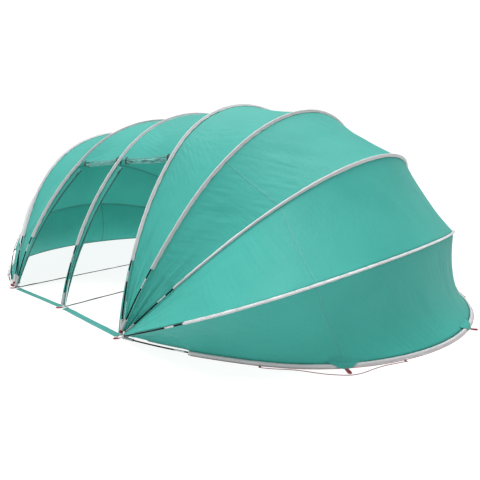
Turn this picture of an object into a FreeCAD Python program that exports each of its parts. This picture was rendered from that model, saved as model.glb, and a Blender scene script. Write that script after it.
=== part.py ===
"""Tunnel tent with two fan-shaped ends.

Frame: +X along the tent (right end), +Y to the closed back, +Z up. The origin is on the ground, in the
middle of the tent. Millimetres and degrees. Three arches stand across the tent and carry the tunnel. At
each end three more arches and a ring that lies on the ground turn about one hub line, like a fan.
Every arch is five tangent arcs in a plane through its hub line, and its feet stand at the front and back.
"""
import FreeCAD, Part
import math
import os

V = FreeCAD.Vector

# ---- driving dimensions ----
HALF_DEPTH = 2000.0        # hub line: half the distance between a main arch's feet
HUB_X = 1056.0             # hub lines stand this far either side of the middle
HUB_Z = 16.0               # a pole that lies in its sleeve on the ground has its centre here

POLE_R = 5.5
POLE_BORE_R = 3.2
FERRULE_R = 6.6
FERRULE_LENGTH = 88.0
FIRST_JOINT = 476.0        # foot to the middle of the first ferrule, on the tunnel's arches
SECTION_LENGTH = 560.0     # about the length of the other pole sections
JOINT_GAP = 0.4            # sections stay this far apart inside a ferrule

SLEEVE_R = 16.0
SLEEVE_BORE_R = 14.0
SLEEVE_START = 606.0       # sleeve's mouth, along the pole from the foot
FAN_FIRST_JOINT = (476.0, 476.0, 734.0, 578.0)
FAN_SLEEVE_START = (606.0, 606.0, 860.0, 655.0)
POCKET_R = 7.8
POCKET_BORE_R = 5.7
POCKET_START = 52.0
POCKET_END = 150.0
ROOT_FOOT_START = 9.0      # the three fixed arches stand deeper in their pockets

FABRIC = 2.0               # thickness of the canopy's solids
FABRIC_INSET = 6.0         # canopy lies this far under the poles' centre lines
SEAM_GAP = 17.2            # canopy starts this far beside an arch's plane
PANEL_START = 115.0        # canopy's lower edge, along the pole from the foot

MID_LEAN = 2.3
MAIN_LEAN = {"left": -12.5, "right": -6.1}   # outwards from upright, so both lean in
FAN_TILT = (18.0, 43.3, 68.2, 90.0)          # outwards from upright: three fan arches and the ring

# Each shape is the foot's lean, the end of the leg arc, the end of the shoulder arc, the shoulder radius.
MAIN_SHAPE = (10.7, 43.2, 59.8, 1498.0)
MID_SHAPE = (10.2, 42.3, 62.8, 1498.0)
FAN_SHAPE = (16.3, 30.0, 47.3, 2086.0)
LOW_FAN_SHAPE = (-9.6, 12.0, 59.0, 852.0)
RING_SHAPE = (10.2, 26.8, 57.4, 1622.0)
MAIN_HEIGHT = 2032.0
MID_HEIGHT = 2004.0
MID_HALF_DEPTH = 1965.0
FAN_HEIGHT = (1980.0, 1980.0, 1970.0, 2062.0)
FAN_SHAPES = {"left": (FAN_SHAPE, FAN_SHAPE, FAN_SHAPE, RING_SHAPE),
              "right": (FAN_SHAPE, FAN_SHAPE, LOW_FAN_SHAPE, RING_SHAPE)}
FAN_NEST = (20.0, -20.0, 38.0, 18.0)        # feet stand beside each other, so the fan can fold

MAIN_DOOR_TOP = 1450.0     # along the arch's plane, up from the hub line
MID_DOOR_TOP = 1430.0
ROLL_R = 27.0
ROLL_SIDE_GAP = 62.0       # from an arch's plane to a roll's end
ROLL_DROP = 40.0
ZIP_START = 150.0          # zip's lower end, along the pole from the foot
ZIP_TOP_DROP = 60.0
JAMB_WIDTH = 42.0
JAMB_INSET = 42.0
JAMB_FOOT_WIDTH = 14.0
JAMB_ZIP_GAP = 9.5         # strip's edge to the middle of the zip, which is sewn on by its tape
ZIP_WIDTH = 14.0
SLIDER_LENGTH = 26.0

SILL_WIDTH = 46.0
STRAP_WIDTH = 20.0
LOOP_LENGTH = 64.0
LOOP_WIDTH = 30.0
LOOP_SLOT_LENGTH = 34.0
LOOP_SLOT_WIDTH = 14.0
WEBBING = 4.0
CORD_R = 2.5
CORD_Z = 3.2


class Arch:
    """Centre line of one pole, from the back foot (u = +half) over the crown to the front foot."""

    def __init__(self, hub_x, side, tilt, half, height, shape,
                 first_joint=FIRST_JOINT, sleeve_start=SLEEVE_START, door_top=MAIN_DOOR_TOP):
        self.hub = V(hub_x, 0, HUB_Z)
        self.first_joint, self.sleeve_start, self.door_top = first_joint, sleeve_start, door_top
        sine, cosine = math.sin(math.radians(tilt)), math.cos(math.radians(tilt))
        self.up = V(side * sine, 0, cosine)
        self.outward = V(side * cosine, 0, -sine)
        self.axis = V(0, 1, 0).cross(self.up)
        foot, leg_end, shoulder_end = (math.radians(angle) for angle in shape[:3])
        shoulder_r = shape[3]
        leg_r, crown_r = self.solve_radii(half, height, foot, leg_end, shoulder_end, shoulder_r)
        leg = (half - leg_r * math.cos(foot), -leg_r * math.sin(foot), leg_r)
        shoulder = self.next_centre(leg, leg_end, shoulder_r)
        crown = self.next_centre(shoulder, shoulder_end, crown_r)
        ends = (foot, leg_end, shoulder_end, math.pi - shoulder_end, math.pi - leg_end, math.pi - foot)
        circles = (leg, shoulder, crown, self.mirrored(shoulder), self.mirrored(leg))
        self.arcs = [circle + pair for circle, pair in zip(circles, zip(ends, ends[1:]))]
        self.foot = foot

    @staticmethod
    def solve_radii(half, height, foot, leg_end, shoulder_end, shoulder_r):
        """Leg and crown radii that make the half arch span half and height."""
        a, b = math.cos(foot) - math.cos(leg_end), math.cos(shoulder_end)
        c, d = math.sin(leg_end) - math.sin(foot), 1 - math.sin(shoulder_end)
        across = half - shoulder_r * (math.cos(leg_end) - math.cos(shoulder_end))
        rise = height - shoulder_r * (math.sin(shoulder_end) - math.sin(leg_end))
        scale = a * d - b * c
        return (across * d - b * rise) / scale, (a * rise - across * c) / scale

    @staticmethod
    def next_centre(circle, angle, radius):
        """Circle of another radius that is tangent at the given angle."""
        u, v, r = circle
        return u + (r - radius) * math.cos(angle), v + (r - radius) * math.sin(angle), radius

    @staticmethod
    def mirrored(circle):
        return -circle[0], circle[1], circle[2]

    def place(self, u, v, out=0.0):
        return self.hub + V(0, u, 0) + self.up * v + self.outward * out

    def arc_at(self, angle):
        return next(arc for arc in self.arcs if angle <= arc[4] + 1e-9)

    def point(self, angle, inset=0.0, out=0.0):
        u, v, r = self.arc_at(angle)[:3]
        return self.place(u + (r - inset) * math.cos(angle), v + (r - inset) * math.sin(angle), out)

    def tangent(self, angle):
        return V(0, 1, 0) * -math.sin(angle) + self.up * math.cos(angle)

    def clipped(self, start, end):
        """The arcs between two angles, each with its own stretch of angle."""
        for u, v, r, first, last in self.arcs:
            low, high = max(first, start), min(last, end)
            if high - low > 1e-6:
                yield u, v, r, low, high

    def length(self):
        return sum(r * (last - first) for u, v, r, first, last in self.arcs)

    def angle_at_length(self, distance):
        for u, v, r, first, last in self.arcs:
            if distance <= r * (last - first):
                return first + distance / r
            distance -= r * (last - first)
        return math.pi - self.foot

    def angle_at_height(self, height):
        """Angle on the back half where the arch is this far above the hub line."""
        for u, v, r, first, last in self.arcs:
            if v + r * math.sin(min(last, math.pi / 2)) >= height:
                return math.asin((height - v) / r)
        return math.pi / 2

    def span(self, distance):
        """Angles of the two points that are this far from the two feet."""
        angle = self.angle_at_length(distance)
        return angle, math.pi - angle


SIDES = {"left": -1, "right": 1}


def make_arches():
    arches = {"mid": Arch(0.0, 1, MID_LEAN, MID_HALF_DEPTH, MID_HEIGHT, MID_SHAPE, door_top=MID_DOOR_TOP)}
    for name, side in SIDES.items():
        main = Arch(side * HUB_X, side, MAIN_LEAN[name], HALF_DEPTH, MAIN_HEIGHT, MAIN_SHAPE)
        fan = [main]
        rows = zip(FAN_TILT, FAN_NEST, FAN_HEIGHT, FAN_SHAPES[name], FAN_FIRST_JOINT, FAN_SLEEVE_START)
        for tilt, nest, height, shape, first_joint, sleeve_start in rows:
            half = HALF_DEPTH + nest
            fan.append(Arch(side * HUB_X, side, tilt, half, height, shape, first_joint, sleeve_start))
        arches[name] = fan
    return arches


def save(name, solids):
    shape = solids[0] if len(solids) == 1 else Part.makeCompound(solids)
    shape.exportStep("parts/" + name + ".step")


# ---- shapes that follow an arch ----
def tube(arch, start, end, outer_r, bore_r):
    """One hollow solid round the arch between two angles."""
    middle, along = arch.point(start), arch.tangent(start)
    rings = [Part.Wire(Part.makeCircle(radius, middle, along)) for radius in (outer_r, bore_r)]
    face = Part.Face(rings[:1]).cut(Part.Face(rings[1:])).Faces[0]
    pieces = []
    for u, v, r, low, high in arch.clipped(start, end):
        centre, turn = arch.place(u, v), math.degrees(high - low)
        pieces.append(face.revolve(centre, arch.axis, turn))
        face = face.rotated(centre, arch.axis, turn)
    if len(pieces) == 1:
        return pieces[0]
    whole = pieces[0].multiFuse(pieces[1:])
    if len(whole.Solids) != 1:
        raise ValueError("the tube's arcs did not join")
    return whole.Solids[0]


def arc_edge(arch, arc, inset, out):
    u, v, r, low, high = arc
    radius = r - inset
    points = []
    for angle in (low, (low + high) / 2, high):
        points.append(arch.place(u + radius * math.cos(angle), v + radius * math.sin(angle), out))
    return Part.Arc(*points).toShape(), points[0], points[2]


def section_wire(arch, start, end, out):
    """Closed thin outline: the outer and inner lines of the fabric where it meets an arch."""
    outer, inner = [], []
    for arc in arch.clipped(start, end):
        outer.append(arc_edge(arch, arc, FABRIC_INSET, out))
        inner.append(arc_edge(arch, arc, FABRIC_INSET + FABRIC, out))
    edges = [edge for edge, first, last in outer]
    edges.append(Part.makeLine(outer[-1][2], inner[-1][2]))
    edges.extend(edge for edge, first, last in reversed(inner))
    edges.append(Part.makeLine(inner[0][1], outer[0][1]))
    return Part.Wire(edges)


def panel(first, second, first_out, second_out, starts, ends):
    """Canopy panel: ruled between two arches, from a start angle to an end angle on each."""
    wires = [
        section_wire(first, starts[0], ends[0], first_out),
        section_wire(second, starts[1], ends[1], second_out),
    ]
    return Part.makeLoft(wires, True, True)


def strip(sections):
    """Solid through a row of four-cornered outlines, with flat sides between them."""
    wires = [Part.makePolygon(corners + corners[:1]) for corners in sections]
    return Part.makeLoft(wires, True, True)


# ---- poles ----
def joint_distances(arch):
    """Distances from the back foot to each ferrule's middle."""
    inner = arch.length() - 2 * arch.first_joint
    count = max(1, round(inner / SECTION_LENGTH))
    return [arch.first_joint + inner * i / count for i in range(count + 1)]


def pole_sections(arch, foot_start):
    stops = [foot_start] + joint_distances(arch) + [arch.length() - foot_start]
    sections = []
    for start, end in zip(stops, stops[1:]):
        low = arch.angle_at_length(start + JOINT_GAP / 2)
        high = arch.angle_at_length(end - JOINT_GAP / 2)
        sections.append(tube(arch, low, high, POLE_R, POLE_BORE_R))
    return sections


def ferrules(arch):
    solids = []
    for middle in joint_distances(arch):
        low = arch.angle_at_length(middle - FERRULE_LENGTH / 2)
        high = arch.angle_at_length(middle + FERRULE_LENGTH / 2)
        solids.append(tube(arch, low, high, FERRULE_R, POLE_R + 0.1))
    return solids


def sleeve(arch):
    start, end = arch.span(arch.sleeve_start)
    return tube(arch, start, end, SLEEVE_R, SLEEVE_BORE_R)


def pockets(arch, start):
    low, low_end = arch.angle_at_length(start), arch.angle_at_length(POCKET_END)
    return [
        tube(arch, low, low_end, POCKET_R, POCKET_BORE_R),
        tube(arch, math.pi - low_end, math.pi - low, POCKET_R, POCKET_BORE_R),
    ]


# ---- the fixed tunnel ----
def bays(arches):
    """The two tunnel bays: name, the main arch, its side, and the sign that points into the bay from it."""
    for name, side in SIDES.items():
        yield name, arches[name][0], side


def mid_out(side):
    """The middle arch's outward direction is +X, so the left bay lies on its negative side."""
    return side * SEAM_GAP


def roof_panel(arches, main, side):
    mid = arches["mid"]
    starts = (main.angle_at_length(PANEL_START), mid.angle_at_length(PANEL_START))
    ends = tuple(math.pi - arch.angle_at_height(arch.door_top) for arch in (main, mid))
    return panel(main, mid, -SEAM_GAP, mid_out(side), starts, ends)


def roll_ends(arches, main, side):
    mid = arches["mid"]
    ends = []
    for arch, gap in ((main, -ROLL_SIDE_GAP), (mid, side * ROLL_SIDE_GAP)):
        angle = math.pi - arch.angle_at_height(arch.door_top)
        ends.append(arch.point(angle, FABRIC_INSET + ROLL_DROP, gap))
    return ends


def door_roll(arches, main, side):
    start, end = roll_ends(arches, main, side)
    return Part.makeCylinder(ROLL_R, (end - start).Length, start, end - start)


def door_ties(arches, main, side):
    """Two webbing rings round the roll."""
    start, end = roll_ends(arches, main, side)
    along = end - start
    ties = []
    for share in (0.07, 0.93):
        foot = start + along * share
        outer = Part.makeCylinder(ROLL_R + 3.0, 22.0, foot, along)
        ties.append(outer.cut(Part.makeCylinder(ROLL_R + 0.3, 22.0, foot, along)))
    return ties


def zip_arc(arch, into):
    """Three points of the circle that a door's zip follows; into is the sign that points into the bay."""
    top = math.pi - arch.angle_at_height(arch.door_top - ZIP_TOP_DROP)
    low = math.pi - arch.angle_at_length(ZIP_START)
    middle = (top + low) / 2
    reach = SEAM_GAP + JAMB_WIDTH
    foot_reach = SEAM_GAP + JAMB_FOOT_WIDTH
    return [
        arch.point(low, FABRIC_INSET + 8.0, into * foot_reach),
        arch.point(middle, FABRIC_INSET + 0.62 * JAMB_INSET, into * (foot_reach + 0.62 * (reach - foot_reach))),
        arch.point(top, FABRIC_INSET + JAMB_INSET, into * reach),
    ]


def zip_circle(points):
    """Centre and unit axis of the circle through three points."""
    circle = Part.Arc(*points).toShape().Curve
    axis = (points[1] - points[0]).cross(points[2] - points[1])
    axis.normalize()
    return circle.Center, axis


def jamb(arch, into):
    """Fabric strip from beside an arch's front leg to the door's zip, wider towards the top."""
    points = zip_arc(arch, into)
    centre, axis = zip_circle(points)
    sweep = (points[0] - centre).getAngle(points[2] - centre)
    top = math.pi - arch.angle_at_height(arch.door_top - ZIP_TOP_DROP)
    low = math.pi - arch.angle_at_length(ZIP_START)
    steps = 8
    sections = []
    for i in range(steps + 1):
        share = i / steps
        angle = low + (top - low) * share
        edge = FreeCAD.Rotation(axis, math.degrees(sweep * share)).multVec(points[0] - centre) + centre
        near = arch.point(angle, FABRIC_INSET, into * SEAM_GAP)
        inward = (arch.point(angle, FABRIC_INSET + FABRIC, into * SEAM_GAP) - near)
        far = edge - (edge - near).normalize() * JAMB_ZIP_GAP
        sections.append([near, far, far + inward, near + inward])
    return strip(sections)


def zip_tape(arch, into):
    points = zip_arc(arch, into)
    centre, axis = zip_circle(points)
    sweep = math.degrees((points[0] - centre).getAngle(points[2] - centre))
    radial = (points[0] - centre).normalize()
    half = axis * (ZIP_WIDTH / 2)
    across = radial * FABRIC
    corners = [points[0] - half, points[0] + half, points[0] + half - across, points[0] - half - across]
    face = Part.Face(Part.makePolygon(corners + corners[:1]))
    return face.revolve(centre, axis, sweep)


def zip_slider(arch, into):
    """Slider body that stands just outside its tape near the top, with a flat pull."""
    points = zip_arc(arch, into)
    centre, axis = zip_circle(points)
    sweep = math.degrees((points[0] - centre).getAngle(points[2] - centre))
    radial = (points[0] - centre).normalize()
    turn = FreeCAD.Rotation(axis, sweep - 1.0)
    out = turn.multVec(radial)
    place = turn.multVec(points[0] - centre) + centre
    along = axis.cross(out)
    solids = []
    for length, width, height, lift, ahead in (
        (SLIDER_LENGTH, 12.0, 6.0, 0.5, 0.0),
        (34.0, 8.0, 2.5, 6.5, -24.0),
    ):
        low = place + out * lift + along * (ahead - length / 2) - axis * (width / 2)
        corners = [low, low + along * length, low + along * length + axis * width, low + axis * width]
        face = Part.Face(Part.makePolygon(corners + corners[:1]))
        solids.append(face.extrude(out * height))
    return solids


def ground_strip(start, end, width, height, low=0.0):
    """Flat strip on the ground between two points."""
    along = (end - start).normalize()
    side = V(-along.y, along.x, 0) * (width / 2)
    corners = [start - side, end - side, end + side, start + side]
    corners = [V(corner.x, corner.y, low) for corner in corners]
    return Part.Face(Part.makePolygon(corners + corners[:1])).extrude(V(0, 0, height))


def sill_bands(arches):
    mid_foot = V(0, -MID_HALF_DEPTH, 0)
    bands = []
    for side in SIDES.values():
        hub = V(side * HUB_X, -HALF_DEPTH, 0)
        along = (hub - mid_foot).normalize()
        start, end = mid_foot + along * 40.0, hub - along * 45.0
        bands.append(ground_strip(start, end, SILL_WIDTH, WEBBING))
    return bands


def floor_straps():
    straps = []
    for x, half in ((-HUB_X, HALF_DEPTH), (0.0, MID_HALF_DEPTH), (HUB_X, HALF_DEPTH)):
        reach = half - 45.0
        straps.append(ground_strip(V(x, -reach, 0), V(x, reach, 0), STRAP_WIDTH, FABRIC))
    return straps


def peg_loop(root, direction):
    """Flat webbing loop on the ground that runs outwards from root, with a slot for a tent peg."""
    along = V(direction.x, direction.y, 0).normalize()
    tip = root + along * LOOP_LENGTH
    body = ground_strip(root, tip, LOOP_WIDTH, WEBBING)
    slot_end = root + along * (LOOP_LENGTH - 9.0)
    slot_start = slot_end - along * LOOP_SLOT_LENGTH
    slot = ground_strip(slot_start, slot_end, LOOP_SLOT_WIDTH, 3 * WEBBING, -WEBBING)
    return body.cut(slot).Solids[0]


def foot_loops():
    loops = []
    for x, half in ((-HUB_X, HALF_DEPTH), (0.0, MID_HALF_DEPTH), (HUB_X, HALF_DEPTH)):
        for sign in (-1, 1):
            loops.append(peg_loop(V(x, sign * half, 0), V(0, sign, 0)))
    return loops


# ---- ring: tabs, pegging points and cords ----
CORNER_ANGLE = 47.4        # seam corners, measured round each arch like the arcs' own angles
TAB_ANGLES = (27.2, 62.4)  # tabs either side of a corner, where a cord is sewn on

# A cord lies slack on the ground round each corner, from tab to tab. These are the front right corner's
# points; the other three corners are mirror images.
CORD_ROUTE = (
    (2199, -1675), (2241, -1655), (2293, -1622), (2346, -1583), (2401, -1548), (2460, -1519), (2521, -1495),
    (2579, -1466), (2634, -1432), (2684, -1397), (2722, -1360), (2752, -1312), (2774, -1256), (2793, -1194),
    (2817, -1133), (2846, -1074), (2881, -1018), (2908, -967), (2929, -939),
)


def ring_point(ring, angle, out=0.0):
    point = ring.point(math.radians(angle), -out)
    return V(point.x, point.y, 0)


def ring_loops(ring):
    """Peg loops at the two corners and the end of the ring."""
    loops = []
    for angle in (CORNER_ANGLE, 90.0, 180.0 - CORNER_ANGLE):
        start, further = ring_point(ring, angle, SLEEVE_R + 1.0), ring_point(ring, angle, 100.0)
        loops.append(peg_loop(start, further - start))
    return loops


def ring_tabs(ring):
    """Short webbing tabs that lie on the ground against the ring, one at each end of a cord."""
    tabs = []
    for corner in TAB_ANGLES:
        for angle in (corner, 180.0 - corner):
            start, end = ring_point(ring, angle, SLEEVE_R + 1.0), ring_point(ring, angle, SLEEVE_R + 20.0)
            tabs.append(ground_strip(start, end, 16.0, WEBBING))
    return tabs


def cord(x_sign, y_sign):
    """Tube of straight runs and tangent arcs; prints its radii and compares its volume with its length."""
    points = [V(x_sign * x, -y_sign * y, CORD_Z) for x, y in CORD_ROUTE]
    edges, radii, length = [], [], 0.0
    here = points[0]
    for before, corner, after in zip(points, points[1:], points[2:]):
        first, second = corner - before, after - corner
        half_turn = first.getAngle(second) / 2
        trim = 0.45 * min(first.Length, second.Length)
        radius = trim / math.tan(half_turn)
        start = corner - first.normalize() * trim
        end = corner + second.normalize() * trim
        bisector = (second - first).normalize()
        middle = corner + bisector * (radius / math.cos(half_turn) - radius)
        edges.append(Part.makeLine(here, start))
        edges.append(Part.Arc(start, middle, end).toShape())
        length += (start - here).Length + 2 * half_turn * radius
        radii.append(round(radius))
        here = end
    edges.append(Part.makeLine(here, points[-1]))
    length += (points[-1] - here).Length
    profile = Part.Wire(Part.makeCircle(CORD_R, points[0], points[1] - points[0]))
    tube_solid = Part.Wire(edges).makePipeShell([profile], True, True)
    share = tube_solid.Volume / (math.pi * CORD_R ** 2 * length)
    print("cord", x_sign, y_sign, "length", round(length, 1), "volume share", round(share, 4), "radii", radii)
    return tube_solid


def build_all():
    arches = make_arches()
    mid = arches["mid"]
    main_ferrules, foot_pockets = ferrules(mid), pockets(mid, ROOT_FOOT_START)
    save("mid_pole", pole_sections(mid, ROOT_FOOT_START))
    save("mid_sleeve", [sleeve(mid)])
    rolls_ties, jambs, tapes = [], [], []
    for name, main, side in bays(arches):
        save(name + "_main_pole", pole_sections(main, ROOT_FOOT_START))
        save(name + "_main_sleeve", [sleeve(main)])
        save(name + "_roof_panel", [roof_panel(arches, main, side)])
        save(name + "_door_roll", [door_roll(arches, main, side)])
        main_ferrules += ferrules(main)
        foot_pockets += pockets(main, ROOT_FOOT_START)
        rolls_ties += door_ties(arches, main, side)
        for label, arch, into in (("outer", main, -1), ("inner", mid, side)):
            jambs.append(jamb(arch, into))
            tapes.append(zip_tape(arch, into))
            save(name + "_" + label + "_zip_slider", zip_slider(arch, into))
            points = zip_arc(arch, into)
            centre, axis = zip_circle(points)
            turn = math.degrees((points[0] - centre).getAngle(points[2] - centre))
            print("zip", name, label, [round(c, 2) for c in centre], [round(c, 5) for c in axis], round(turn, 2))
        for number, (inner, outer) in enumerate(zip(arches[name], arches[name][1:]), 1):
            prefix = name + "_ring" if number == 4 else name + "_fan_" + str(number)
            save(prefix + "_pole", pole_sections(outer, POCKET_START - 8.0))
            save(prefix + "_ferrules", ferrules(outer))
            save(prefix + "_sleeve", [sleeve(outer)] + pockets(outer, POCKET_START))
            starts = (inner.angle_at_length(PANEL_START), outer.angle_at_length(PANEL_START))
            ends = tuple(math.pi - angle for angle in starts)
            save(prefix + "_panel", [panel(inner, outer, SEAM_GAP, -SEAM_GAP, starts, ends)])
        ring = arches[name][4]
        save(name + "_ring_loops", ring_loops(ring) + ring_tabs(ring))
        for end, y_sign in (("front", -1), ("back", 1)):
            save(name + "_" + end + "_cord", [cord(side, y_sign)])
    save("main_ferrules", main_ferrules)
    save("foot_pockets", foot_pockets)
    save("door_ties", rolls_ties)
    save("door_jambs", jambs)
    save("door_zips", tapes)
    save("sill_bands", sill_bands(arches))
    save("floor_straps", floor_straps())
    save("foot_loops", foot_loops())


os.makedirs("parts", exist_ok=True)
build_all()
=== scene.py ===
"""Looks of the tunnel tent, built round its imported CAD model.

Metres, in the model's frame: +X along the tent to the right end, +Y to the closed back, +Z up, ground at 0.
The arches are worked out here as the part's source does it, and every sheet, sleeve and band follows them.
"""
import bpy
import math
import numpy as np
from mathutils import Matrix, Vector


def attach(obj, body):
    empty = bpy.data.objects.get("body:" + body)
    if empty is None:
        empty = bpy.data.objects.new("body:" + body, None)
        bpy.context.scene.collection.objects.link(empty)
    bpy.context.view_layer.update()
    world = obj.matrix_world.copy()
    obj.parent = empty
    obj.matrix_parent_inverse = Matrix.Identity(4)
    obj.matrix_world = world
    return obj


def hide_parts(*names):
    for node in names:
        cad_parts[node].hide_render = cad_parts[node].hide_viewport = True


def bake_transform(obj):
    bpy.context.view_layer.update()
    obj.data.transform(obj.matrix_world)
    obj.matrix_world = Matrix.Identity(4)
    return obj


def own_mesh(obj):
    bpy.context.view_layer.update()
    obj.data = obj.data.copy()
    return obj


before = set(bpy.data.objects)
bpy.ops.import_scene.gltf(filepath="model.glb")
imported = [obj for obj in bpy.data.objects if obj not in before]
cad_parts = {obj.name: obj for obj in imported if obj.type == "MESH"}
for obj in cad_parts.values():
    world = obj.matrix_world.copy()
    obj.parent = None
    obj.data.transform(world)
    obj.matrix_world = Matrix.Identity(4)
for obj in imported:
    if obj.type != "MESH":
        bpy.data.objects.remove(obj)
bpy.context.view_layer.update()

# ---- camera ----
CAMERA_AT = (3.6924, -3.6324, 1.2976)
CAMERA_TURN = 0.7054               # radians to the left of +Y
CAMERA_PITCH = -0.1702
CAMERA_LENS = 29.41

# ---- light ----
WORLD = 0.50
SEEN_WORLD = 1.05
FLOOR_GLOW = 0.88
FLOOR_RINGS = (0.01, 4, 12, 80, 600)
SUN_AIM = (0, 0, 0.6)
SUNS = (                           # name, strength, place, and width in degrees
    ("overhead", 3.7, (-0.7, 0.8, 6.0), 45),
    ("front_fill", 0.8, (-3.0, -6.0, 2.0), 80),
)

# ---- the arches, as in the part's source ----
HALF_DEPTH = 2.000
HUB_X = 1.056
HUB_Z = 0.016
MID_LEAN = 2.3
MAIN_LEAN = {"left": -12.5, "right": -6.1}
FAN_TILT = (18.0, 43.3, 68.2, 90.0)
MAIN_SHAPE = (10.7, 43.2, 59.8, 1.498)
MID_SHAPE = (10.2, 42.3, 62.8, 1.498)
FAN_SHAPE = (16.3, 30.0, 47.3, 2.086)
LOW_FAN_SHAPE = (-9.6, 12.0, 59.0, 0.852)
RING_SHAPE = (10.2, 26.8, 57.4, 1.622)
MAIN_HEIGHT = 2.032
MID_HEIGHT = 2.004
MID_HALF_DEPTH = 1.965
FAN_HEIGHT = (1.980, 1.980, 1.970, 2.062)
FAN_SHAPES = {"left": (FAN_SHAPE, FAN_SHAPE, FAN_SHAPE, RING_SHAPE),
              "right": (FAN_SHAPE, FAN_SHAPE, LOW_FAN_SHAPE, RING_SHAPE)}
FAN_NEST = (0.020, -0.020, 0.038, 0.018)
SIDES = {"left": -1, "right": 1}

# ---- cloth ----
PANEL_START = 0.044                # canopy's lower edge, along the pole from the foot
SLEEVE_START = 0.606
FAN_SLEEVE_START = (0.606, 0.606, 0.860, 0.655)
SLEEVE_STEP = 0.018
RING_SLEEVE_LOW = 0.0148           # the ring's sleeve reaches this far below the pole's centre line
BINDING_START = 0.240              # along the pole from its foot
CLOTH = 0.0016
TRIM_CLOTH = 0.0012                # jambs and corner flares
WEAVE_PITCH = 0.0011
WEAVE_DEPTH = 0.00012
UNDER_SLEEVE = 0.0125              # canopy's edge lies this far inside a pole's centre line
FREE_EDGE = 0.011                  # and this much further where there is no sleeve yet
SAG_SHARE = 0.030                  # sag in the middle of a panel, as a share of its width there
WALL_SAG_SHARE = 0.105             # the upright wall over the ring
RING_LIFT = 0.016                  # wall's lower edge over the ring's pole, where there is no sleeve
ROW_STEP = 0.011                   # canopy's mesh, along the poles
GRID_STEP = 0.028                  # and across its panels
MAIN_DOOR_TOP = 1.450
MID_DOOR_TOP = 1.430
FLARE_HALF = 0.115                 # half a flare's length along the ring
FLARE_TOP = 0.900                  # where it leaves the wall, as a share of the wall's height
FLARE_LOW = 0.965
# its way over the ring's sleeve to the ground: down from the ring's middle, and outwards along the ground
FLARE_PATH = ((-0.0135, 0.0030), (-0.0090, 0.0088), (-0.0015, 0.0122), (0.0060, 0.0160), (0.0104, 0.0225),
              (0.0128, 0.0360))

# ---- door ----
ROLL_R = 0.024
ROLL_CORE_R = 0.005
ROLL_SIDE_GAP = 0.062
ROLL_DROP = 0.040                  # roll's axis under the arch's centre line
DOOR_LENGTH = 1.35                 # cloth rolled up in each roll
TIE_SHARES = (0.03, 0.97)          # where the ties go round a roll
SEAM_GAP = 0.0172
JAMB_WIDTH = 0.042
JAMB_FOOT_WIDTH = 0.014
JAMB_INSET = 0.042
FABRIC_INSET = 0.006
ZIP_WIDTH = 0.014
ZIP_FOOT = 0.150                   # zip's lower end, along the pole from its foot
ZIP_TOP_DROP = 0.060
COIL_PITCH = 0.004
SLIDER_OUTLINE = ((-0.013, 0.0042), (-0.010, 0.0056), (-0.002, 0.0060), (0.006, 0.0046), (0.011, 0.0030),
                  (0.013, 0.0018))
JAMB_LOW = -0.112                  # jamb's foot, as a share of the zip's length below the zip

# ---- ground parts ----
UP = np.array([0, 0, 1.0])
FEET = ((-HUB_X, HALF_DEPTH), (0.0, MID_HALF_DEPTH), (HUB_X, HALF_DEPTH))
FOOT_SIDES = 20
POCKET_END = 0.150
LOW_POCKET = (0.006, POCKET_END - 0.020)
HIGH_POCKET = (0.054, POCKET_END)
CUFF_ENDS = (0.036, 0.062)
LOOP_LENGTH = 0.068
LOOP_WIDTH = 0.030
LOOP_SLOT = (0.016, 0.008)
# shares of the way from a loop's eye to its rim, and heights there
LOOP_SECTION = ((0.0, 0.0008), (0.0, 0.0060), (0.12, 0.0082), (0.5, 0.0088), (0.88, 0.0082),
                (1.0, 0.0060), (1.0, 0.0008), (0.5, 0.0004), (0.0, 0.0008))
PAD_SECTION = ((0.02, 0.0046), (0.7, 0.0050), (0.95, 0.0046), (1.0, 0.0036), (1.0, 0.0008), (0.9, 0.0004))
SLEEVE_R = 0.016
SILL_WIDTH = 0.056
STRAP_WIDTH = 0.020
CORNER_ANGLE = 47.4
TAB_ANGLES = (27.2, 62.4)
CORD_D = 0.005
CORD_Z = 0.0032
CORD_ROUTE = (                     # front right corner; the other three corners mirror it
    (2.199, -1.675), (2.241, -1.655), (2.293, -1.622), (2.346, -1.583), (2.401, -1.548), (2.460, -1.519),
    (2.521, -1.495), (2.579, -1.466), (2.634, -1.432), (2.684, -1.397), (2.722, -1.360), (2.752, -1.312),
    (2.774, -1.256), (2.793, -1.194), (2.817, -1.133), (2.846, -1.074), (2.881, -1.018), (2.908, -0.967),
    (2.929, -0.939),
)
SEAM_ANGLES = {                    # corner seam, as angles round fan 1, fan 2, fan 3 and the ring
    "left": (135.2, 136.5, 134.5, 132.6),
    "right": (135.2, 136.5, 118.5, 132.6),
}
END_SEAM_ANGLES = (84.5, 82.5)      # upright seam in the left end's wall, round fan 3 and the ring


# ---- camera, light, floor ----
def placed(name, data, place=(0, 0, 0)):
    """New object of some data at a place."""
    made = bpy.data.objects.new(name, data)
    made.location = place
    bpy.context.scene.collection.objects.link(made)
    return made


def add_camera():
    data = bpy.data.cameras.new("camera")
    data.lens = CAMERA_LENS
    data.clip_end = 900.0
    camera = placed("camera", data, CAMERA_AT)
    camera.rotation_euler = (math.pi / 2 + CAMERA_PITCH, 0, CAMERA_TURN)
    bpy.context.scene.camera = camera


def add_sun(name, strength, place, width):
    data = bpy.data.lights.new(name, "SUN")
    data.energy = strength
    data.angle = math.radians(width)
    sun = placed(name, data, place)
    sun.rotation_euler = (Vector(place) - Vector(SUN_AIM)).to_track_quat("Z", "Y").to_euler()


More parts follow.
